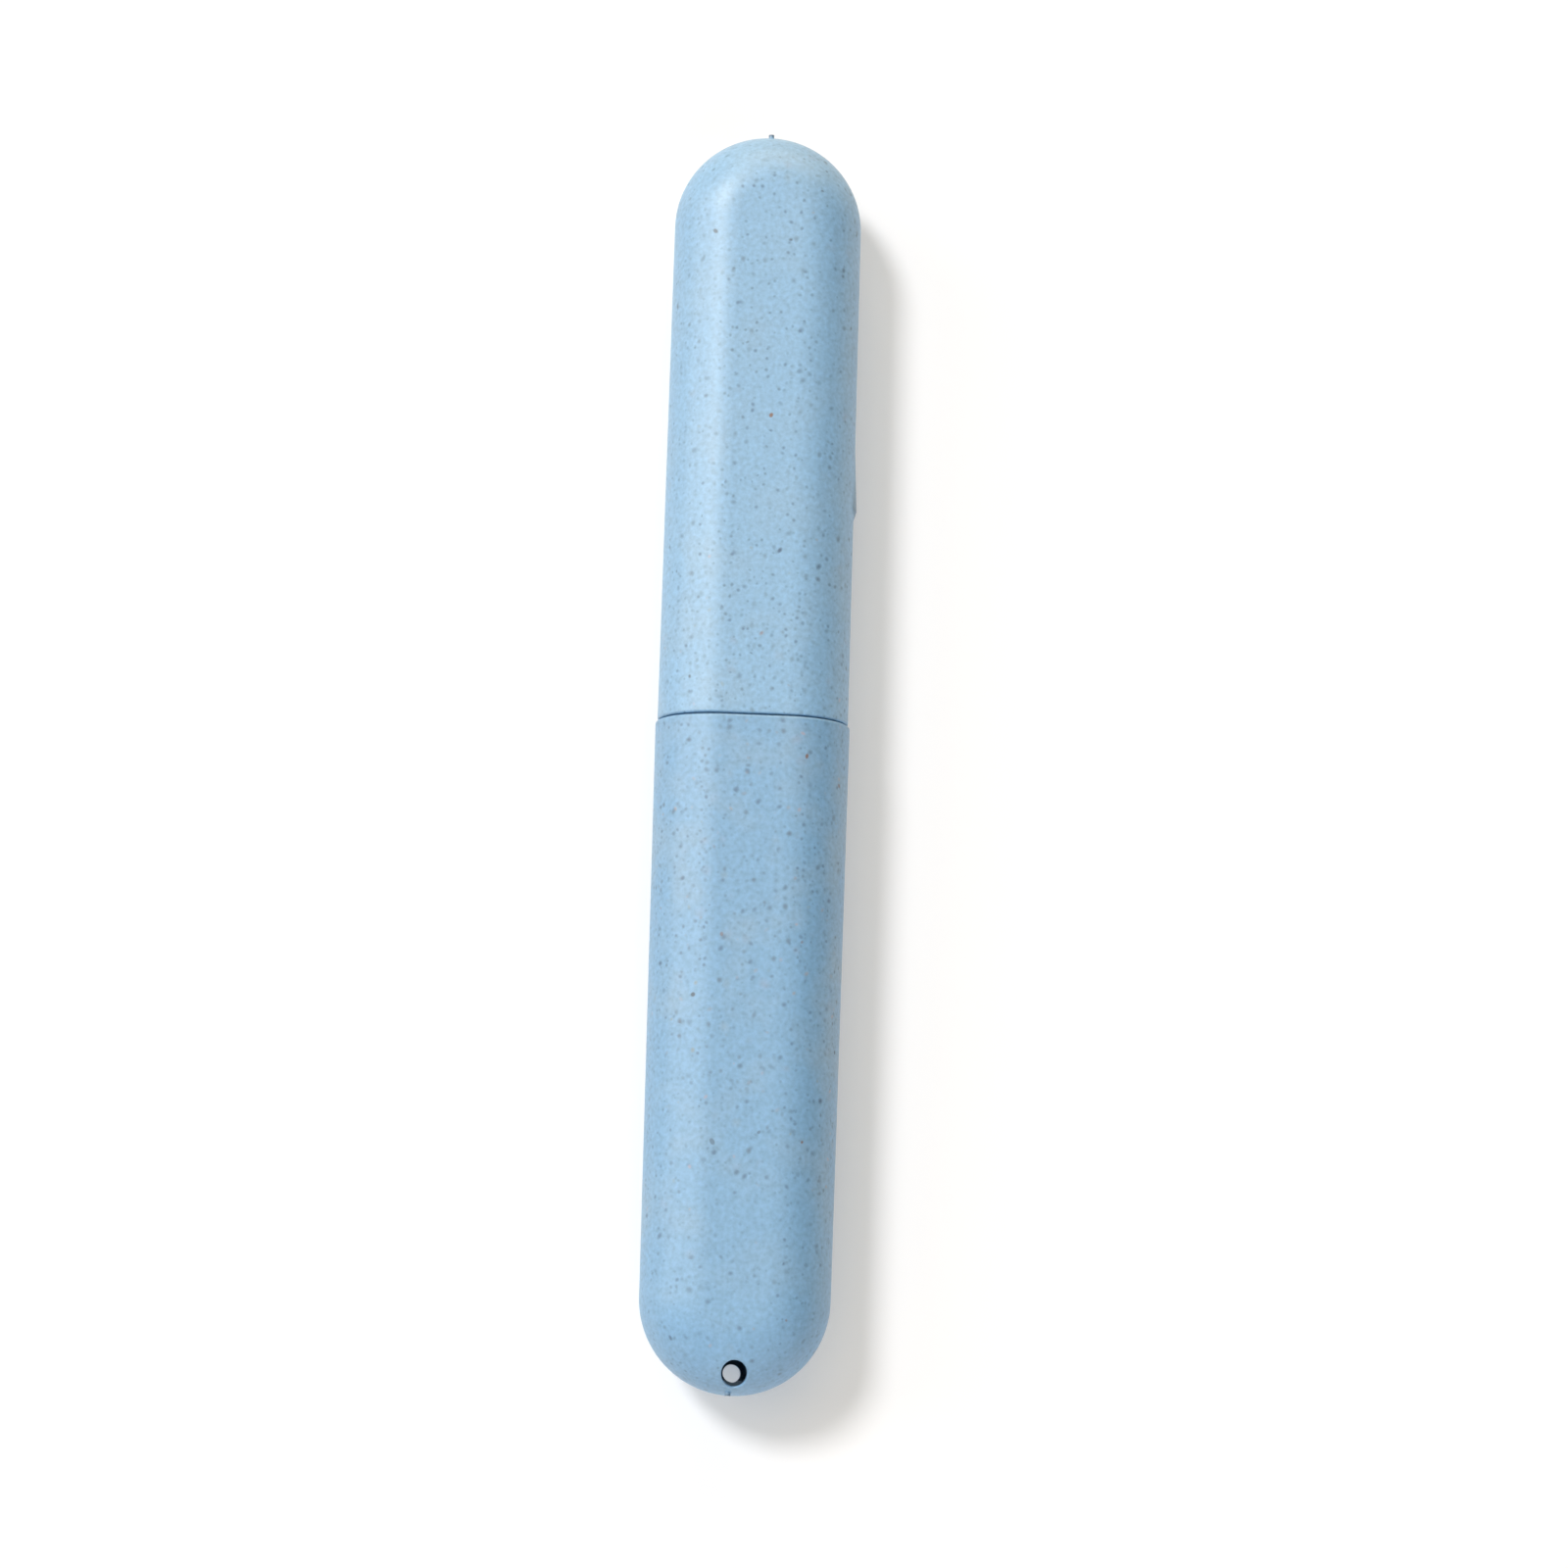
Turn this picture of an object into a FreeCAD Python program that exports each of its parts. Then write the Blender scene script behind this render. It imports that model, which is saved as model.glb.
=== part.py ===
import FreeCAD, Part
import math
import os

import Sketcher

# Two-part travel case for a toothbrush, lying flat: +Z up, +Y towards the cap, +X to the right.
# The case stands on the flat of its body at z = 0, and the origin is under the middle of its length.

# Driving dimensions in millimetres: name, value, meaning
sizes = [
    ("body_length", 108.6, "lower half, rim to dome tip"),
    ("cap_length", 99.1, "upper half, rim to dome tip"),
    ("seam_gap", 0.25, "open line between the two rims when the case is shut"),
    ("cap_edge_radius", 10.3, "full round side of the cap, half of its height"),
    ("rim_step", 0.3, "how far the body stands proud of the cap all round"),
    ("seam_flat", 10.6, "width of the flat faces at the seam"),
    ("cap_dome_flat", 10.45, "width of the flat faces where the cap's dome starts"),
    ("body_dome_flat", 9.5, "width of the flat faces where the body's dome starts"),
    ("wall", 2.0, "cap wall, and body wall behind the rim step"),
    ("collar_length", 12.0, "collar of the body that the cap slides over"),
    ("collar_wall", 1.0, "wall of the collar at its mouth"),
    ("collar_lead", 0.35, "chamfer at the mouth of the collar"),
    ("seat_gap", 0.1, "collar mouth to the step inside the cap"),
    ("bead_height", 0.1, "snap bead round the collar"),
    ("bead_length", 1.4, "snap bead along the collar"),
    ("bead_inset", 3.0, "middle of the snap bead from the collar's mouth"),
    ("bead_gap", 0.05, "running gap between the bead and the socket"),
    ("rim_round", 0.4, "rounding of both rims at the seam, less where the wall is thin"),
    ("vent_top_bore", 4.1, "vent hole in the upper wall of the body's dome"),
    ("vent_bottom_bore", 2.9, "vent hole in the lower wall of the body's dome"),
    ("vent_inset", 3.6, "vent axis from the body's dome tip"),
    ("vent_round", 0.2, "rounding of the vent's outer edges"),
    ("gate_bore", 0.9, "moulding gate mark on each dome"),
    ("gate_rise", 3.2, "gate marks above the middle of the case's height"),
    ("gate_height", 0.5, "gate marks proud of the dome"),
    ("gate_shift", 0.8, "gate mark of the body to the left of the middle"),
    ("rib_inset", 34.1, "thumb rib from the rim of the cap"),
    ("rib_length", 14.8, "thumb rib along the cap"),
    ("rib_ramp", 2.0, "steep end of the thumb rib, on the rim side"),
    ("rib_height", 0.5, "thumb rib proud of the cap's side"),
    ("rib_crown", 6.0, "radius across the thumb rib"),
    ("rib_sink", 0.1, "both ends of the thumb rib below the cap's side"),
]

doc = FreeCAD.newDocument("toothbrush_case")
sheet = doc.addObject("Spreadsheet::Sheet", "Sizes")
for row, (alias, value, meaning) in enumerate(sizes, start=1):
    sheet.set(f"A{row}", alias)
    sheet.set(f"B{row}", str(value))
    sheet.set(f"C{row}", meaning)
    sheet.setAlias(f"B{row}", alias)
doc.recompute()


def size(alias):
    return f"Sizes.{alias}"


# The rounding of a rim takes up to this share of the wall behind it
rim_round_share = 0.6
# The two sides of a barrel overlap past the middle by this share of half the flat
side_overlap = 0.5
# A dome is its half section turned by this many degrees
half_turn = 180
# Edges are found by points along them that lie this close to where the edge should be
edge_samples = 9
same_place = 1e-3


def gate_drop(radius):
    """How far a dome of that edge radius falls back from its tip at the height of the gate mark."""
    return f"({radius} - sqrt(({radius})^2 - {size('gate_rise')}^2))"


# Places and sizes that follow from the driving dimensions, as expressions
case_half = f"({size('body_length')} + {size('seam_gap')} + {size('cap_length')}) / 2"
body_tip_y = f"-({case_half})"
cap_tip_y = case_half
body_rim_y = f"{body_tip_y} + {size('body_length')}"
cap_rim_y = f"{cap_tip_y} - {size('cap_length')}"
body_radius = f"{size('cap_edge_radius')} + {size('rim_step')}"
cap_radius = size("cap_edge_radius")
cavity_radius = f"{cap_radius} - {size('wall')}"
collar_radius = f"{cavity_radius} + {size('collar_wall')}"
bead_radius = f"{collar_radius} + {size('bead_height')}"
socket_radius = f"{bead_radius} + {size('bead_gap')}"
groove_radius = f"{socket_radius} + {size('bead_height')}"
body_dome_y = f"{body_tip_y} + {body_radius} + {size('body_dome_flat')} / 2"
cap_dome_y = f"{cap_tip_y} - {cap_radius} - {size('cap_dome_flat')} / 2"
collar_mouth_y = f"{body_rim_y} + {size('collar_length')}"
socket_step_y = f"{collar_mouth_y} + {size('seat_gap')}"
bead_y = f"{collar_mouth_y} - {size('bead_inset')}"
bead_start_y = f"{bead_y} - {size('bead_length')} / 2"
bead_end_y = f"{bead_y} + {size('bead_length')} / 2"
gate_root = f"{size('wall')} / 2"
body_gate_y = f"{body_tip_y} + {gate_drop(body_radius)}"
cap_gate_y = f"{cap_tip_y} - {gate_drop(cap_radius)}"
vent_y = f"{body_tip_y} + {size('vent_inset')}"
cap_rim_wall = f"{cap_radius} - ({socket_radius})"
rim_round = f"min({size('rim_round')}; {rim_round_share} * ({cap_rim_wall}))"
rib_start_y = f"{cap_rim_y} + {size('rib_inset')}"
middle_z = body_radius


def number(expression):
    return float(sheet.evalExpression(expression))


def origin_plane(body, role):
    return next(plane for plane in body.Origin.OriginFeatures if plane.Role == role)


def cross_sketch(body, name, y):
    """A sketch across the case at y, centred on its middle, with x to the right and y up."""
    sketch = body.newObject("Sketcher::SketchObject", name)
    sketch.AttachmentSupport = [(origin_plane(body, "XZ_Plane"), "")]
    sketch.MapMode = "FlatFace"
    sketch.setExpression("AttachmentOffset.Base.y", middle_z)
    sketch.setExpression("AttachmentOffset.Base.z", f"-({y})")
    return sketch


def level_sketch(body, name, z):
    """A sketch seen from above, at height z."""
    sketch = body.newObject("Sketcher::SketchObject", name)
    sketch.AttachmentSupport = [(origin_plane(body, "XY_Plane"), "")]
    sketch.MapMode = "FlatFace"
    sketch.setExpression("AttachmentOffset.Base.z", z)
    return sketch


def bind(sketch, constraint, name, expression):
    index = sketch.addConstraint(constraint)
    sketch.renameConstraint(index, name)
    sketch.setExpression(f"Constraints.{name}", expression)


def arc(centre, radius, start, end):
    circle = Part.Circle(centre, FreeCAD.Vector(0, 0, 1), radius)
    return Part.ArcOfCircle(circle, start, end)


def oblong(body, name, y, flat, radius):
    """The case's section at y: two flats joined by full round sides."""
    sketch = cross_sketch(body, name, y)
    half, round_ = number(flat) / 2, number(radius)
    right, left = FreeCAD.Vector(half, 0, 0), FreeCAD.Vector(-half, 0, 0)
    up = FreeCAD.Vector(0, round_, 0)
    top = sketch.addGeometry(Part.LineSegment(left + up, right + up))
    side = sketch.addGeometry(arc(right, round_, -math.pi / 2, math.pi / 2))
    bottom = sketch.addGeometry(Part.LineSegment(right - up, left - up))
    other = sketch.addGeometry(arc(left, round_, math.pi / 2, 3 * math.pi / 2))
    sketch.addConstraint(Sketcher.Constraint("Tangent", top, 2, side, 2))
    sketch.addConstraint(Sketcher.Constraint("Tangent", side, 1, bottom, 1))
    sketch.addConstraint(Sketcher.Constraint("Tangent", bottom, 2, other, 2))
    sketch.addConstraint(Sketcher.Constraint("Tangent", other, 1, top, 1))
    sketch.addConstraint(Sketcher.Constraint("Equal", side, other))
    sketch.addConstraint(Sketcher.Constraint("PointOnObject", side, 3, -1))
    sketch.addConstraint(Sketcher.Constraint("Symmetric", side, 3, other, 3, -1, 1))
    bind(sketch, Sketcher.Constraint("DistanceX", other, 3, side, 3, 2 * half), "flat", flat)
    bind(sketch, Sketcher.Constraint("Radius", side, round_), "round", radius)
    return sketch


def half_oblong(body, name, y, flat, radius):
    """The right half of the section at y, closed along the middle, for turning a dome."""
    sketch = cross_sketch(body, name, y)
    half, round_ = number(flat) / 2, number(radius)
    centre = FreeCAD.Vector(half, 0, 0)
    up = FreeCAD.Vector(0, round_, 0)
    top = sketch.addGeometry(Part.LineSegment(up, centre + up))
    side = sketch.addGeometry(arc(centre, round_, -math.pi / 2, math.pi / 2))
    bottom = sketch.addGeometry(Part.LineSegment(centre - up, -up))
    axis = sketch.addGeometry(Part.LineSegment(-up, up))
    sketch.addConstraint(Sketcher.Constraint("Tangent", top, 2, side, 2))
    sketch.addConstraint(Sketcher.Constraint("Tangent", side, 1, bottom, 1))
    sketch.addConstraint(Sketcher.Constraint("Coincident", bottom, 2, axis, 1))
    sketch.addConstraint(Sketcher.Constraint("Coincident", axis, 2, top, 1))
    sketch.addConstraint(Sketcher.Constraint("Horizontal", top))
    sketch.addConstraint(Sketcher.Constraint("PointOnObject", side, 3, -1))
    sketch.addConstraint(Sketcher.Constraint("PointOnObject", top, 1, -2))
    sketch.addConstraint(Sketcher.Constraint("PointOnObject", bottom, 2, -2))
    bind(sketch, Sketcher.Constraint("DistanceX", -1, 1, side, 3, half), "half_flat", f"({flat}) / 2")
    bind(sketch, Sketcher.Constraint("Radius", side, round_), "round", radius)
    return sketch


def side_oblong(body, name, y, flat, radius):
    """The right side of the section at y, taken past the middle so that two sides overlap."""
    sketch = cross_sketch(body, name, y)
    half, round_ = number(flat) / 2, number(radius)
    centre, inner = FreeCAD.Vector(half, 0, 0), FreeCAD.Vector(-half * side_overlap, 0, 0)
    up = FreeCAD.Vector(0, round_, 0)
    top = sketch.addGeometry(Part.LineSegment(inner + up, centre + up))
    side = sketch.addGeometry(arc(centre, round_, -math.pi / 2, math.pi / 2))
    bottom = sketch.addGeometry(Part.LineSegment(centre - up, inner - up))
    back = sketch.addGeometry(Part.LineSegment(inner - up, inner + up))
    sketch.addConstraint(Sketcher.Constraint("Tangent", top, 2, side, 2))
    sketch.addConstraint(Sketcher.Constraint("Tangent", side, 1, bottom, 1))
    sketch.addConstraint(Sketcher.Constraint("Coincident", bottom, 2, back, 1))
    sketch.addConstraint(Sketcher.Constraint("Coincident", back, 2, top, 1))
    sketch.addConstraint(Sketcher.Constraint("Horizontal", top))
    sketch.addConstraint(Sketcher.Constraint("Vertical", back))
    sketch.addConstraint(Sketcher.Constraint("Horizontal", bottom))
    sketch.addConstraint(Sketcher.Constraint("PointOnObject", side, 3, -1))
    bind(sketch, Sketcher.Constraint("DistanceX", -1, 1, side, 3, half), "half_flat", f"({flat}) / 2")
    past = f"({flat}) / 2 * {side_overlap}"
    bind(sketch, Sketcher.Constraint("DistanceX", top, 1, -1, 1, number(past)), "past_middle", past)
    bind(sketch, Sketcher.Constraint("Radius", side, round_), "round", radius)
    return sketch


def draft_line(body, name, start_y, start_flat, end_y, end_flat):
    """The line that a round side's centre follows in plan, from one section to another."""
    sketch = level_sketch(body, name, middle_z)
    start_x, end_x = f"({start_flat}) / 2", f"({end_flat}) / 2"
    start = FreeCAD.Vector(number(start_x), number(start_y), 0)
    end = FreeCAD.Vector(number(end_x), number(end_y), 0)
    line = sketch.addGeometry(Part.LineSegment(start, end))
    bind(sketch, Sketcher.Constraint("DistanceX", -1, 1, line, 1, start.x), "start_x", start_x)
    bind(sketch, Sketcher.Constraint("DistanceY", -1, 1, line, 1, start.y), "start_y", start_y)
    bind(sketch, Sketcher.Constraint("DistanceX", -1, 1, line, 2, end.x), "end_x", end_x)
    bind(sketch, Sketcher.Constraint("DistanceY", -1, 1, line, 2, end.y), "end_y", end_y)
    return sketch


def disc(sketch, x, y, diameter):
    """A circle whose centre stands at x, y in its sketch."""
    centre = FreeCAD.Vector(number(x), number(y), 0)
    ring = sketch.addGeometry(Part.Circle(centre, FreeCAD.Vector(0, 0, 1), number(diameter) / 2))
    bind(sketch, Sketcher.Constraint("DistanceX", -1, 1, ring, 3, centre.x), "across", x)
    bind(sketch, Sketcher.Constraint("DistanceY", -1, 1, ring, 3, centre.y), "along", y)
    bind(sketch, Sketcher.Constraint("Diameter", ring, number(diameter)), "bore", diameter)
    return sketch


def loft(body, kind, name, sections):
    feature = body.newObject(f"PartDesign::{kind}", name)
    feature.Profile = sections[0]
    feature.Sections = sections[1:]
    feature.Ruled = True
    return feature


def barrel(body, kind, name, start_y, start_flat, end_y, end_flat, radius):
    """A straight stretch of the case between two sections: its right side, drawn in, and its mirror."""
    line = draft_line(body, f"{name}Draft", start_y, start_flat, end_y, end_flat)
    side = side_oblong(body, f"{name}Side", start_y, start_flat, radius)
    feature = body.newObject(f"PartDesign::{kind}", f"{name}Right")
    feature.Profile = side
    feature.ReferenceAxis = (line, ["Edge1"])
    feature.AlongSketchNormal = True
    feature.Reversed = kind == "Pocket"
    feature.setExpression("Length", f"abs({end_y} - ({start_y}))")
    mirror = body.newObject("PartDesign::Mirrored", name)
    mirror.Originals = [feature]
    mirror.MirrorPlane = (origin_plane(body, "YZ_Plane"), [""])
    body.Tip = mirror
    return mirror


def turn(body, kind, name, profile, backwards=False):
    """Half a turn of the profile about the upright axis of its sketch, round the end of the case."""
    feature = body.newObject(f"PartDesign::{kind}", name)
    feature.Profile = profile
    feature.ReferenceAxis = (profile, ["V_Axis"])
    feature.Angle = half_turn
    feature.Reversed = backwards
    return feature


def push(body, kind, name, sketch, length, backwards=False):
    feature = body.newObject(f"PartDesign::{kind}", name)
    feature.Profile = sketch
    feature.setExpression("Length", length)
    feature.Reversed = backwards
    return feature


def dress(body, kind, name, wanted, size_name, expression):
    """A fillet or chamfer on the edges of the body, as it stands, that pass the test."""
    doc.recompute()
    base = body.Tip
    edges = [f"Edge{place}" for place, edge in enumerate(base.Shape.Edges, start=1) if wanted(edge)]
    feature = body.newObject(f"PartDesign::{kind}", name)
    feature.Base = (base, edges)
    feature.setExpression(size_name, expression)
    return feature


def on_oblong(flat, radius, y):
    """A test for edges that lie on the section of that flat and radius at y."""
    half, round_, at, middle = number(f"{flat} / 2"), number(radius), number(y), number(middle_z)

    def test(edge):
        for point in edge.discretize(edge_samples):
            reach = math.hypot(max(abs(point.x) - half, 0), point.z - middle)
            if abs(point.y - at) > same_place or abs(reach - round_) > same_place:
                return False
        return True

    return test


def on_vent(bore, upper):
    """A test for the outer edge of the vent in the upper or the lower wall of the dome."""
    radius, axis_y, middle = number(f"{bore} / 2"), number(vent_y), number(middle_z)
    half, dome_y = number(f"{size('body_dome_flat')} / 2"), number(body_dome_y)
    shell = number(body_radius)

    def test(edge):
        for point in edge.discretize(edge_samples):
            out = math.hypot(point.x, point.y - dome_y) - half
            from_axis = math.hypot(point.x, point.y - axis_y) - radius
            from_shell = math.hypot(out, point.z - middle) - shell
            if abs(from_axis) > same_place or abs(from_shell) > same_place:
                return False
            if (point.z > middle) is not upper:
                return False
        return True

    return test


def cap_flat_at(y):
    """Width of the cap's flat faces at y, between its rim and the start of its dome."""
    share = f"({y} - ({cap_rim_y})) / ({cap_dome_y} - ({cap_rim_y}))"
    return f"{size('seam_flat')} + ({size('cap_dome_flat')} - {size('seam_flat')}) * {share}"


def rib_disc(name, y, proud):
    """A circle across the thumb rib whose outermost point stands proud of the cap's right side."""
    centre_x = f"({cap_flat_at(y)}) / 2 + {cap_radius} + {proud} - {size('rib_crown')}"
    return disc(cross_sketch(case_cap, name, y), centre_x, "0", f"2 * {size('rib_crown')}")


# Lower half: barrel and dome, collar with its snap bead, gate mark, cavity, vent and rounded edges.
# The two bores of the vent meet at the middle of the case's height
case_body = doc.addObject("PartDesign::Body", "CaseBody")
case_body.Label = "case_body"
barrel(case_body, "Pad", "BodyBarrel", body_rim_y, size("seam_flat"),
       body_dome_y, size("body_dome_flat"), body_radius)
body_dome = half_oblong(case_body, "BodyDomeHalf", body_dome_y, size("body_dome_flat"), body_radius)
turn(case_body, "Revolution", "BodyDome", body_dome, backwards=True)
collar = oblong(case_body, "CollarOutline", body_rim_y, size("seam_flat"), collar_radius)
push(case_body, "Pad", "Collar", collar, size("collar_length"), backwards=True)
loft(case_body, "AdditiveLoft", "SnapBead", [
    oblong(case_body, "BeadFoot", bead_start_y, size("seam_flat"), collar_radius),
    oblong(case_body, "BeadTop", bead_y, size("seam_flat"), bead_radius),
    oblong(case_body, "BeadHead", bead_end_y, size("seam_flat"), collar_radius),
])
body_gate = cross_sketch(case_body, "BodyGateOutline", f"{body_gate_y} + {gate_root}")
disc(body_gate, f"-{size('gate_shift')}", size("gate_rise"), size("gate_bore"))
push(case_body, "Pad", "BodyGate", body_gate, f"{gate_root} + {size('gate_height')}")
barrel(case_body, "Pocket", "BodyCavity", collar_mouth_y, size("seam_flat"),
       body_dome_y, size("body_dome_flat"), cavity_radius)
body_hollow = half_oblong(case_body, "BodyHollowHalf", body_dome_y, size("body_dome_flat"), cavity_radius)
turn(case_body, "Groove", "BodyHollow", body_hollow, backwards=True)
vent_top = level_sketch(case_body, "VentTopOutline", f"2 * ({middle_z})")
disc(vent_top, "0", vent_y, size("vent_top_bore"))
push(case_body, "Pocket", "VentTop", vent_top, middle_z)
vent_bottom = level_sketch(case_body, "VentBottomOutline", "0")
disc(vent_bottom, "0", vent_y, size("vent_bottom_bore"))
push(case_body, "Pocket", "VentBottom", vent_bottom, middle_z, backwards=True)
body_rim_edge = on_oblong(size("seam_flat"), body_radius, body_rim_y)
dress(case_body, "Fillet", "BodyRimRound", body_rim_edge, "Radius", rim_round)
collar_edge = on_oblong(size("seam_flat"), collar_radius, collar_mouth_y)
dress(case_body, "Chamfer", "CollarLead", collar_edge, "Size", size("collar_lead"))
vent_top_edge = on_vent(size("vent_top_bore"), True)
dress(case_body, "Fillet", "VentTopRound", vent_top_edge, "Radius", size("vent_round"))
vent_bottom_edge = on_vent(size("vent_bottom_bore"), False)
dress(case_body, "Fillet", "VentBottomRound", vent_bottom_edge, "Radius", size("vent_round"))

# Upper half: barrel and dome, thumb rib, gate mark, cavity, socket with its snap groove and rounded rim
case_cap = doc.addObject("PartDesign::Body", "CaseCap")
case_cap.Label = "case_cap"
barrel(case_cap, "Pad", "CapBarrel", cap_rim_y, size("seam_flat"),
       cap_dome_y, size("cap_dome_flat"), cap_radius)
cap_dome = half_oblong(case_cap, "CapDomeHalf", cap_dome_y, size("cap_dome_flat"), cap_radius)
turn(case_cap, "Revolution", "CapDome", cap_dome)
loft(case_cap, "AdditiveLoft", "ThumbRib", [
    rib_disc("RibStart", rib_start_y, f"-{size('rib_sink')}"),
    rib_disc("RibTop", f"{rib_start_y} + {size('rib_ramp')}", size("rib_height")),
    rib_disc("RibEnd", f"{rib_start_y} + {size('rib_length')}", f"-{size('rib_sink')}"),
])
cap_gate = cross_sketch(case_cap, "CapGateOutline", f"{cap_gate_y} - {gate_root}")
disc(cap_gate, "0", size("gate_rise"), size("gate_bore"))
push(case_cap, "Pad", "CapGate", cap_gate, f"{gate_root} + {size('gate_height')}", backwards=True)
barrel(case_cap, "Pocket", "CapCavity", cap_rim_y, size("seam_flat"),
       cap_dome_y, size("cap_dome_flat"), cavity_radius)
cap_hollow = half_oblong(case_cap, "CapHollowHalf", cap_dome_y, size("cap_dome_flat"), cavity_radius)
turn(case_cap, "Groove", "CapHollow", cap_hollow)
socket = oblong(case_cap, "SocketOutline", cap_rim_y, size("seam_flat"), socket_radius)
push(case_cap, "Pocket", "Socket", socket, f"{socket_step_y} - ({cap_rim_y})")
loft(case_cap, "SubtractiveLoft", "SnapGroove", [
    oblong(case_cap, "GrooveFoot", bead_start_y, size("seam_flat"), socket_radius),
    oblong(case_cap, "GrooveTop", bead_y, size("seam_flat"), groove_radius),
    oblong(case_cap, "GrooveHead", bead_end_y, size("seam_flat"), socket_radius),
])
cap_rim_edge = on_oblong(size("seam_flat"), cap_radius, cap_rim_y)
dress(case_cap, "Fillet", "CapRimRound", cap_rim_edge, "Radius", rim_round)
doc.recompute()

# Every feature is sound, adds or takes material as it should, and each half is one solid
cutting = ("SubtractiveLoft", "Groove", "Pocket", "Fillet", "Chamfer")
failed = [item.Name for item in doc.Objects if {"Invalid", "Error"} & set(item.State)]
if failed:
    raise RuntimeError(f"features failed: {failed}")
for half in (case_body, case_cap):
    if half.Shape.isNull() or not half.Shape.isValid() or len(half.Shape.Solids) != 1:
        raise RuntimeError(f"{half.Label} is not one valid solid")
    volume = 0.0
    for feature in half.Group:
        if not feature.isDerivedFrom("PartDesign::Feature"):
            continue
        source = feature.Originals[0] if feature.isDerivedFrom("PartDesign::Mirrored") else feature
        cuts = source.TypeId.split("::")[1] in cutting
        if (feature.Shape.Volume < volume) is not cuts:
            raise RuntimeError(f"{feature.Name} points the wrong way")
        volume = feature.Shape.Volume

os.makedirs("parts", exist_ok=True)
for half in (case_body, case_cap):
    half.Shape.exportStep(f"parts/{half.Label}.step")
    print(f"{half.Label}: {half.Shape.Volume:.0f} cubic millimetres")
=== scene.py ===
import bpy
import math
from mathutils import Matrix, Vector


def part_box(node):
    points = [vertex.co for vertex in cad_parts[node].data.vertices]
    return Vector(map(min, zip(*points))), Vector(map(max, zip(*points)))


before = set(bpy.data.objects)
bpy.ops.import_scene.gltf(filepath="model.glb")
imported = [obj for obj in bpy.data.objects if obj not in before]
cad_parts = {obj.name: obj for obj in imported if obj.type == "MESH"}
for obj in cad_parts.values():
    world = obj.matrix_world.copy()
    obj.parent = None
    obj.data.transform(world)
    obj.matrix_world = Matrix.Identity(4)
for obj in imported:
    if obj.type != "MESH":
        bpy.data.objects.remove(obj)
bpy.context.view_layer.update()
print("frame loaded:", ", ".join(sorted(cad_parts)))

mm = 0.001
bodyLow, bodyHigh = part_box("case_body")
capLow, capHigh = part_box("case_cap")
middleZ = (bodyLow.z + bodyHigh.z) / 2


class Signal:
    # one socket of a node tree; + - * / with numbers or other signals add Math nodes
    def __init__(self, tree, socket=None):
        self.tree = tree
        self.socket = socket

    def node(self, kind, settings=None, links=None, output=0):
        made = self.tree.nodes.new(kind)
        for name, value in (settings or {}).items():
            setattr(made, name, value)
        for name, value in (links or {}).items():
            if isinstance(value, Signal):
                self.tree.links.new(value.socket, made.inputs[name])
            else:
                made.inputs[name].default_value = value
        return Signal(self.tree, made.outputs[output] if made.outputs else None)

    def also(self, output):  # another output of the same node
        return Signal(self.tree, self.socket.node.outputs[output])

    def maths(self, operation, *terms, clamp=False):
        settings = {"operation": operation, "use_clamp": clamp}
        return self.node("ShaderNodeMath", settings, dict(enumerate(terms)))

    def vector(self, operation, other, output="Vector"):
        return self.node("ShaderNodeVectorMath", {"operation": operation}, {0: self, 1: other}, output)

    def scaled(self, factor):  # a colour or vector times a value
        return self.node("ShaderNodeVectorMath", {"operation": "SCALE"}, {0: self, "Scale": factor})

    def __add__(self, other):
        return self.maths("ADD", self, other)

    def __sub__(self, other):
        return self.maths("SUBTRACT", self, other)

    def __rsub__(self, other):
        return self.maths("SUBTRACT", other, self)

    def __mul__(self, other):
        return self.maths("MULTIPLY", self, other)

    def __truediv__(self, other):
        return self.maths("DIVIDE", self, other)

    def __rtruediv__(self, other):
        return self.maths("DIVIDE", other, self)

    __radd__ = __add__
    __rmul__ = __mul__

    def clamped(self):  # kept between 0 and 1
        return self.maths("ADD", self, 0.0, clamp=True)

    def above(self, limit):  # 1 where the signal is over the limit, else 0
        return self.maths("GREATER_THAN", self, limit)

    def over(self, under, colour):  # this signal is the share of colour laid over under
        settings = {"data_type": "RGBA", "blend_type": "MIX", "clamp_factor": True}
        return self.node("ShaderNodeMix", settings, {0: self, 6: under, 7: colour}, 2)


def fromSrgb(red, green, blue):  # screen levels from 0 to 255, by the standard curve
    def linear(level):
        share = level / 255
        return share / 12.92 if share <= 0.04045 else ((share + 0.055) / 1.055) ** 2.4

    return (linear(red), linear(green), linear(blue), 1.0)


def startFinish(name):
    material = bpy.data.materials.new(name)
    material.use_nodes = True
    material.node_tree.nodes.clear()
    return material, Signal(material.node_tree)


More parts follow.
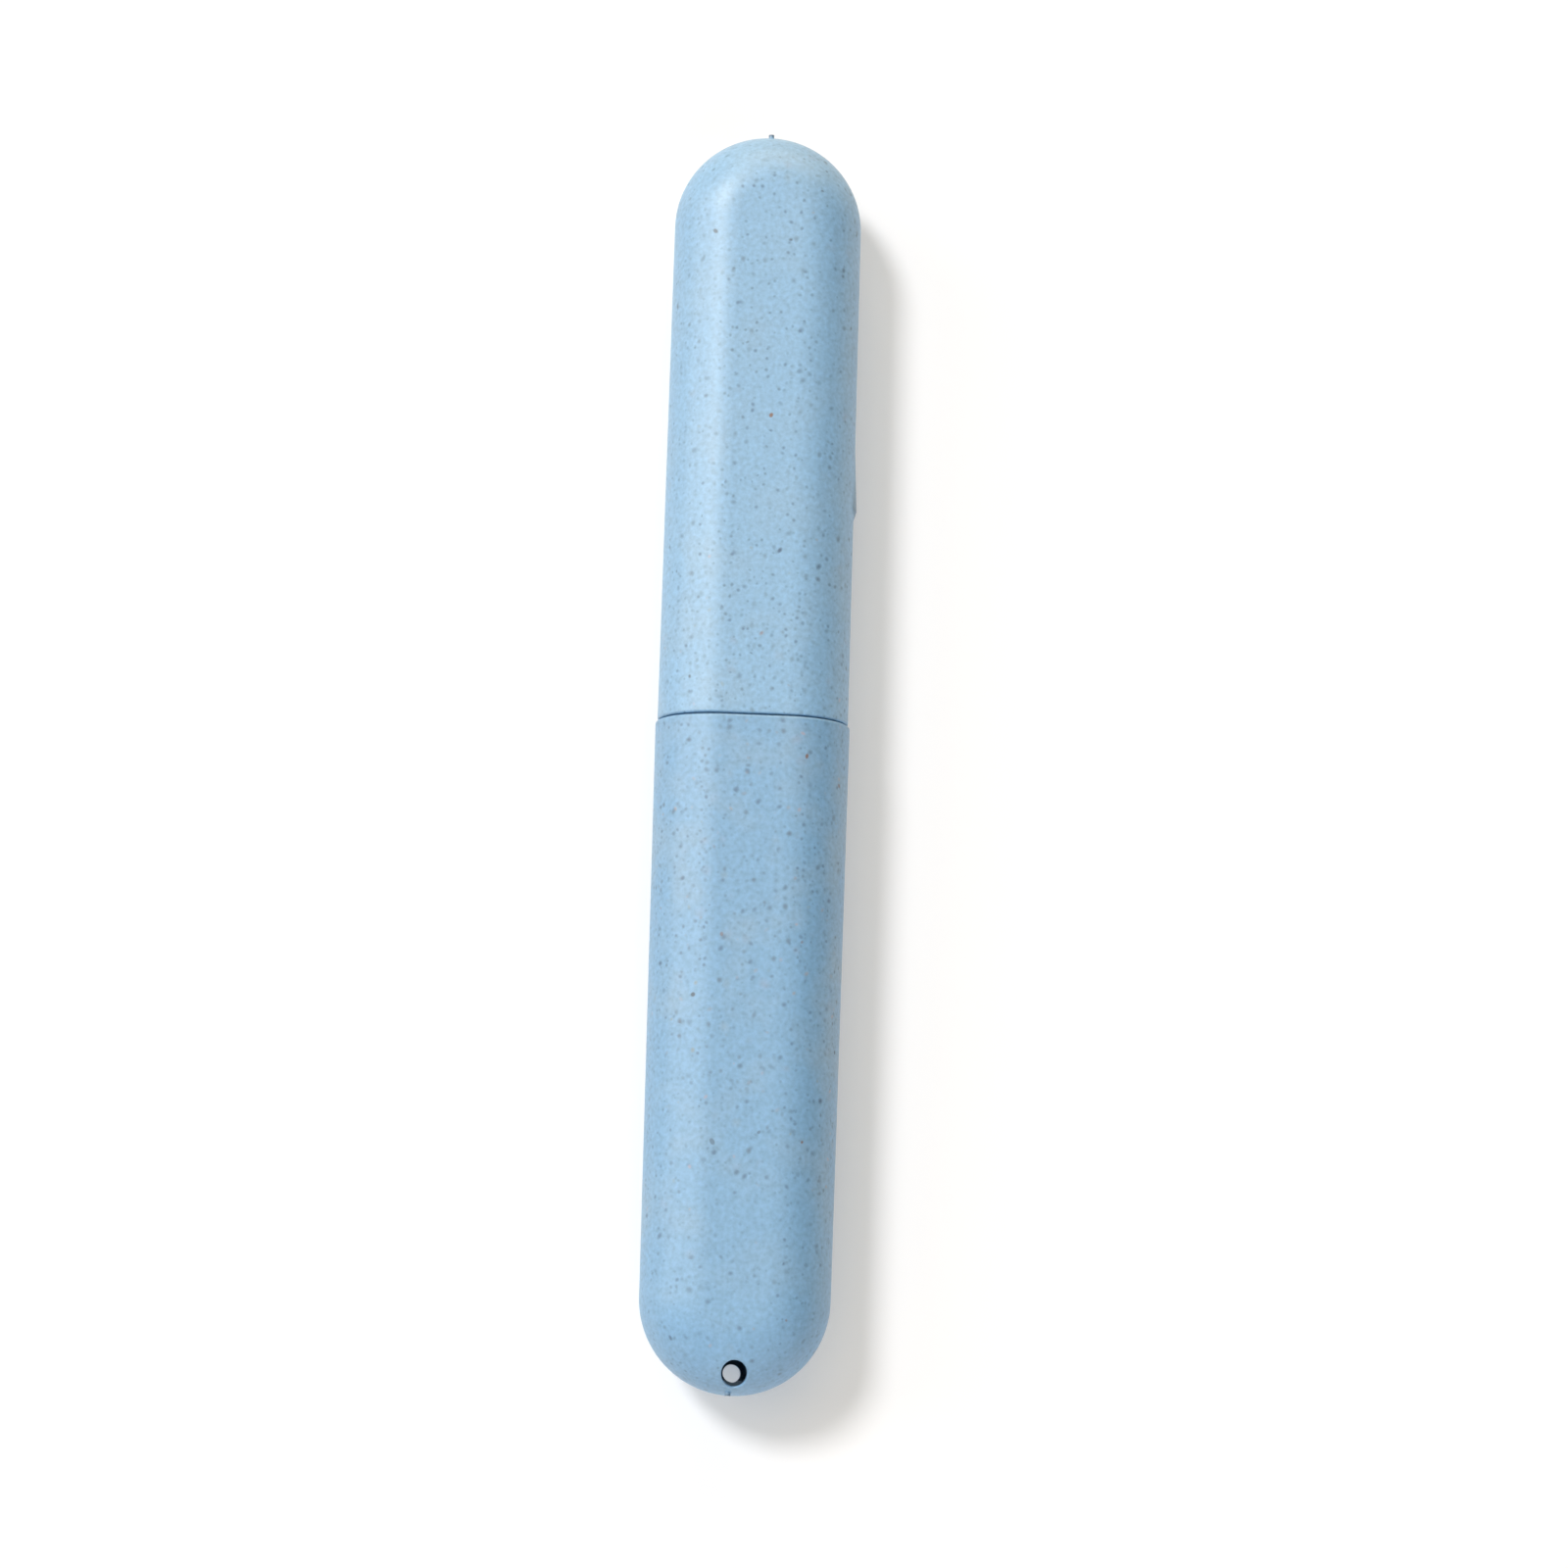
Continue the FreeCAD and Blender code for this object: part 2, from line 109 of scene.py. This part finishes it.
# Straw and husk seeds in the plastic, sizes in millimetres: spacing of the seeds, radius of the largest,
# share that is kept, more of them round the seam, length against width, width of the soft edge against
# the radius, and faintest to strongest tint
seedKinds = {
    "stain": {
        "spacing": 3.6, "radius": 1.5, "kept": 0.12, "crowding": 0.45, "stretch": 1.3, "soft": 1.0,
        "strength": (0.1, 0.35), "tints": [(146, 142, 148), (148, 146, 130), (160, 142, 150)],
    },
    "pepper": {
        "spacing": 1.0, "radius": 0.52, "kept": 0.52, "crowding": 0.35, "stretch": 1.25, "soft": 0.75,
        "strength": (0.22, 0.7), "tints": [(34, 72, 106), (54, 84, 108)],
    },
    "husk": {
        "spacing": 1.7, "radius": 0.82, "kept": 0.36, "crowding": 0.35, "stretch": 1.4, "soft": 0.7,
        "strength": (0.25, 0.8), "tints": [(34, 68, 100), (66, 84, 100), (48, 76, 100)],
    },
    "straw": {
        "spacing": 2.2, "radius": 0.74, "kept": 0.03, "crowding": 0.5, "stretch": 1.7, "soft": 0.7,
        "strength": (0.25, 0.6),
        "tints": [(166, 138, 118), (182, 148, 150), (132, 132, 110), (138, 108, 92)],
    },
    "chip": {
        "spacing": 6.0, "radius": 0.75, "kept": 0.5, "crowding": 0.2, "stretch": 1.6, "soft": 0.4,
        "strength": (0.6, 0.95), "tints": [(44, 64, 82), (112, 80, 64), (38, 72, 102)],
    },
}
smallestSeed = 0.6           # radius of the smallest seed against the largest
boldSeedPower = 2.0          # higher leaves fewer seeds at full strength
seedShift = (1, 2, 3)        # millimetres that keep one kind's seeds off the next kind's
noiseMiddle = 0.5            # average of every noise and random number

plastic = {
    "capColour": (131, 173, 205),
    "bodyColour": (119, 163, 197),
    "cloudColour": (148, 168, 180),  # greyer drifts in the blue
    "cloudSpacing": 9.0,             # millimetres, as the other spacings
    "cloudDetail": 2.0,
    "cloudEdge": 0.45,               # noise level where a drift starts
    "cloudContrast": 3.0,
    "cloudLeast": 0.4,               # share of the drifts left far from the seam
    "cloudShare": 0.4,
    "grainSpacing": 0.75,
    "grainDetail": 2.0,
    "grainDepth": 0.3,
    "crowdMiddle": -22.0,            # millimetres along the case where seeds and drifts crowd most
    "crowdReach": 62.0,
    "roughness": 0.46,
    "roughnessSpread": 0.08,
    "ior": 1.5,
    "specular": 1.0,
    "glossTint": (1.0, 0.95, 0.82, 1.0),
    "bumpStrength": 0.12,
    "bumpDepth": 0.02,
    "bumpSpacing": 0.6,
    "bumpDetail": 3.0,
}

# Dark spots left by the mould at both tips, in millimetres: above the middle, the body's off to one side.
# The same dark colour also paints the shade on the thumb rib.
scarAndShadeColour = (52, 70, 84)
gateScar = {"rise": 3.2, "bodyShift": -0.8, "reach": 0.75, "sharp": 2.0, "strength": 0.9}

# Painted shade on the thumb rib, darkest at its steep end, in millimetres: how far proud of the flank the
# shade starts and is full, and how far from the cap's rim it begins to fade and is gone
paintedRibShade = {"starts": 0.005, "full": 0.185, "fades": 36.1, "gone": 46.1, "strength": 0.5}


def seeds(place, kind, shift, crowd):
    # share of the nearest seed at a place, and a colour whose channels are that seed's own random numbers
    moved = place.vector("ADD", tuple(step * shift * mm for step in seedShift))
    cells = moved.node("ShaderNodeTexVoronoi", {"voronoi_dimensions": "3D"}, {
        "Vector": moved, "Scale": 1 / (kind["spacing"] * mm), "Randomness": 1.0}, "Color")
    keep = cells.node("ShaderNodeSeparateColor", links={"Color": cells}, output="Red")
    dice = cells.node("ShaderNodeTexWhiteNoise", {"noise_dimensions": "3D"}, {"Vector": cells}, "Color")
    lean = dice.vector("SUBTRACT", (noiseMiddle,) * 3).vector("NORMALIZE", (0, 0, 0))
    away = moved.vector("SUBTRACT", cells.also("Position"))
    along = away.vector("DOT_PRODUCT", lean, "Value")
    reach = away.vector("DOT_PRODUCT", away, "Value") * kind["stretch"] ** 2
    reach = reach - along * along * (kind["stretch"] ** 2 - 1)
    reach = reach.maths("SQRT", reach)
    radius = kind["radius"] * mm
    size = (keep.also("Green") * (1 - smallestSeed) + smallestSeed) * radius
    kept = (crowd * kind["crowding"] + kind["kept"] - keep).above(0.0)
    share = ((size - reach) / (kind["soft"] * radius)).clamped() * kept
    faint, strong = kind["strength"]
    bold = keep.maths("POWER", keep.also("Blue"), boldSeedPower) * (strong - faint) + faint
    return share * bold, dice


def speckled(place, ground, crowd):
    for shift, kind in enumerate(seedKinds.values(), start=1):
        share, dice = seeds(place, kind, shift, crowd)
        pick = dice.node("ShaderNodeSeparateColor", links={"Color": dice}, output="Red")
        tint = fromSrgb(*kind["tints"][0])
        for count, other in enumerate(kind["tints"][1:], start=1):
            tint = pick.above(count / len(kind["tints"])).over(tint, fromSrgb(*other))
        ground = share.over(ground, tint)
    return ground


def scarred(place, ground, gate):
    spot = (gate[0], gate[1], middleZ + gateScar["rise"] * mm)
    near = 1 - place.vector("DISTANCE", spot, "Value") / (gateScar["reach"] * mm)
    share = (near * gateScar["sharp"]).clamped() * gateScar["strength"]
    return share.over(ground, fromSrgb(*scarAndShadeColour))


def paintRibShade(place, ground):
    # painted shade: darkens the thumb rib where it stands proud of the flank, fading away from its steep
    # end
    part = place.node("ShaderNodeSeparateXYZ", links={"Vector": place}, output="X")
    flankRadius = capHigh.z - middleZ
    across = part.maths("MAXIMUM", part + (capLow.x + flankRadius), 0.0)
    rise = part.also("Z") - middleZ
    proud = (part.maths("SQRT", across * across + rise * rise) - flankRadius) / mm
    edge = ((proud - paintedRibShade["starts"]) / (paintedRibShade["full"] - paintedRibShade["starts"])).clamped()
    fromRim = (part.also("Y") - capLow.y) / mm
    fade = ((paintedRibShade["gone"] - fromRim) / (paintedRibShade["gone"] - paintedRibShade["fades"])).clamped()
    return (edge * fade * paintedRibShade["strength"]).over(ground, fromSrgb(*scarAndShadeColour))


def strawPlastic(name, colour, gate, ribbed):
    material, start = startFinish(name)
    place = start.node("ShaderNodeTexCoord", output="Object")
    along = place.node("ShaderNodeSeparateXYZ", links={"Vector": place}, output="Y")
    far = (along - plastic["crowdMiddle"] * mm) / (plastic["crowdReach"] * mm)
    crowd = (1 - far * far).clamped()
    cloud = place.node("ShaderNodeTexNoise", links={
        "Vector": place, "Scale": 1 / (plastic["cloudSpacing"] * mm), "Detail": plastic["cloudDetail"]})
    grain = place.node("ShaderNodeTexNoise", links={
        "Vector": place, "Scale": 1 / (plastic["grainSpacing"] * mm), "Detail": plastic["grainDetail"]})
    spread = crowd * (1 - plastic["cloudLeast"]) + plastic["cloudLeast"]
    drift = ((cloud - plastic["cloudEdge"]) * plastic["cloudContrast"]).clamped() * spread
    drift = drift * plastic["cloudShare"]
    ground = drift.over(fromSrgb(*colour), fromSrgb(*plastic["cloudColour"]))
    ground = ground.scaled(grain / noiseMiddle * plastic["grainDepth"] + (1 - plastic["grainDepth"]))
    ground = speckled(place, ground, crowd)
    ground = scarred(place, ground, gate)
    # painted shade on the cap's thumb rib
    if ribbed:
        ground = paintRibShade(place, ground)
    wave = place.node("ShaderNodeTexNoise", links={
        "Vector": place, "Scale": 1 / (plastic["bumpSpacing"] * mm), "Detail": plastic["bumpDetail"]})
    roughness = (wave - noiseMiddle) * plastic["roughnessSpread"] + plastic["roughness"]
    normal = place.node("ShaderNodeBump", links={
        "Strength": plastic["bumpStrength"], "Distance": plastic["bumpDepth"] * mm, "Height": wave})
    skin = start.node("ShaderNodeBsdfPrincipled", links={
        "Base Color": ground, "Roughness": roughness, "Normal": normal,
        "IOR": plastic["ior"], "Specular IOR Level": plastic["specular"],
        "Specular Tint": plastic["glossTint"]})
    start.node("ShaderNodeOutputMaterial", links={"Surface": skin})
    return material


def dressNode(node, material):
    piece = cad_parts[node]
    piece.data.materials.clear()
    piece.data.materials.append(material)


bodyGate = (gateScar["bodyShift"] * mm, bodyLow.y)
capGate = (0.0, capHigh.y)
dressNode("case_body", strawPlastic("bodyPlastic", plastic["bodyColour"], bodyGate, False))
dressNode("case_cap", strawPlastic("capPlastic", plastic["capColour"], capGate, True))
print("plastic on both halves, flecked with", ", ".join(seedKinds))

# White table that stays white round the case and keeps its shadow
tableTop = {
    "halfWidth": 30.0,                     # metres
    "drop": 0.02 * mm,                     # keeps its face off the flat of the case
    "colour": 1.0,
    "ownWhite": 0.2,                       # share of white that doesn't depend on the lamps
    "ownTint": (1.0, 0.99, 0.985, 1.0),
}


def seenDirectly(start):  # 1 for the camera, in reflections and through clear pieces
    rays = start.node("ShaderNodeLightPath", output="Is Camera Ray")
    return (rays + rays.also("Is Glossy Ray") + rays.also("Is Transmission Ray")).clamped()


def makeTable():
    half = tableTop["halfWidth"]
    mesh = bpy.data.meshes.new("tableTop")
    corners = [(-half, -half), (half, -half), (half, half), (-half, half)]
    level = bodyLow.z - tableTop["drop"]
    mesh.from_pydata([(*corner, level) for corner in corners], [], [(0, 1, 2, 3)])
    table = bpy.data.objects.new("tableTop", mesh)
    bpy.context.scene.collection.objects.link(table)
    material, start = startFinish("tableWhite")
    seen = seenDirectly(start)
    shade = tableTop["colour"]
    matte = start.node("ShaderNodeBsdfDiffuse", links={"Color": (shade, shade, shade, 1.0)})
    white = start.node("ShaderNodeEmission", links={"Color": tableTop["ownTint"], "Strength": 1.0})
    mixed = start.node("ShaderNodeMixShader", links={0: seen * tableTop["ownWhite"], 1: matte, 2: white})
    start.node("ShaderNodeOutputMaterial", links={"Surface": mixed})
    mesh.materials.append(material)


makeTable()
print("table laid")

# Soft boxes far off: degrees from straight above, degrees round from +X, width in degrees,
# and the share of white that each gives to a surface that faces it
studio = {
    "lamps": {
        "keyBox": {"lean": 41, "turn": 136, "width": 14, "level": 0.63, "tint": (0.95, 0.96, 1.0)},
        "sideBox": {"lean": 66, "turn": 162, "width": 38, "level": 0.3, "tint": (1.0, 0.9, 0.8)},
        "frontBox": {"lean": 60, "turn": -130, "width": 70, "level": 0.15, "tint": (1.0, 0.98, 0.95)},
        "backBox": {"lean": 78, "turn": 84, "width": 60, "level": 0.58, "tint": (1.0, 0.78, 0.5)},
        "topBox": {"lean": 10, "turn": 90, "width": 70, "level": 0.2, "tint": (1.0, 0.93, 0.84)},
        "fillBox": {"lean": 70, "turn": -62, "width": 80, "level": 0.43, "tint": (0.84, 0.93, 1.0)},
    },
    "white": 1.0,          # what the camera and reflections see of the room
    "dimSide": 0.8,        # share of white that reflections lose on the right
    "dimFrom": 0.35,       # where that starts and ends, from 0 straight up to 1 on the right
    "dimTo": 0.85,
}


def makeLamp(name, look):
    lamp = bpy.data.lights.new(name, "SUN")
    lamp.energy = math.pi * look["level"]
    lamp.angle = math.radians(look["width"])
    lamp.color = look["tint"]
    box = bpy.data.objects.new(name, lamp)
    lean, turn = math.radians(look["lean"]), math.radians(look["turn"])
    out = Vector((math.sin(lean) * math.cos(turn), math.sin(lean) * math.sin(turn), math.cos(lean)))
    box.location = out
    box.rotation_euler = (-out).to_track_quat("-Z", "Y").to_euler()
    bpy.context.scene.collection.objects.link(box)


def makeRoom():
    room = bpy.data.worlds.new("paleRoom")
    room.use_nodes = True
    room.node_tree.nodes.clear()
    start = Signal(room.node_tree)
    aim = start.node("ShaderNodeTexCoord", output="Generated")
    right = start.node("ShaderNodeSeparateXYZ", links={"Vector": aim}, output="X")
    dim = ((right - studio["dimFrom"]) / (studio["dimTo"] - studio["dimFrom"])).clamped()
    mirrored = start.node("ShaderNodeLightPath", output="Is Glossy Ray")
    strength = seenDirectly(start) * (1 - dim * mirrored * studio["dimSide"]) * studio["white"]
    light = start.node("ShaderNodeBackground", links={"Color": (1, 1, 1, 1), "Strength": strength})
    start.node("ShaderNodeOutputWorld", links={"Surface": light})
    bpy.context.scene.world = room


for lampName, lampLook in studio["lamps"].items():
    makeLamp(lampName, lampLook)
makeRoom()
print("studio lit")

# Camera over the lower end of the case, looking back at its middle
camera = {
    "height": 0.640,               # metres above the middle of the case, as the next two
    "foot": (-0.0226, -0.1054),
    "aim": (0.00542, -0.0049),
    "roll": 1.70,                  # degrees
    "lens": 91.09,                 # millimetres, as the sensor
    "sensor": 36.0,
}


def makeCamera():
    lens = bpy.data.cameras.new("viewCamera")
    lens.lens = camera["lens"]
    lens.sensor_width = camera["sensor"]
    eye = bpy.data.objects.new("viewCamera", lens)
    stand = Vector((*camera["foot"], middleZ + camera["height"]))
    back = (stand - Vector((*camera["aim"], middleZ))).normalized()
    up = (Vector((0, 1, 0)) - back * back.y).normalized()
    right = up.cross(back)
    turn = Matrix.Rotation(math.radians(camera["roll"]), 3, back)
    axes = Matrix((turn @ right, turn @ up, back)).transposed()
    eye.matrix_world = Matrix.Translation(stand) @ axes.to_4x4()
    bpy.context.scene.collection.objects.link(eye)
    bpy.context.scene.camera = eye


makeCamera()
bpy.context.scene.view_settings.view_transform = "Standard"
print("camera set")
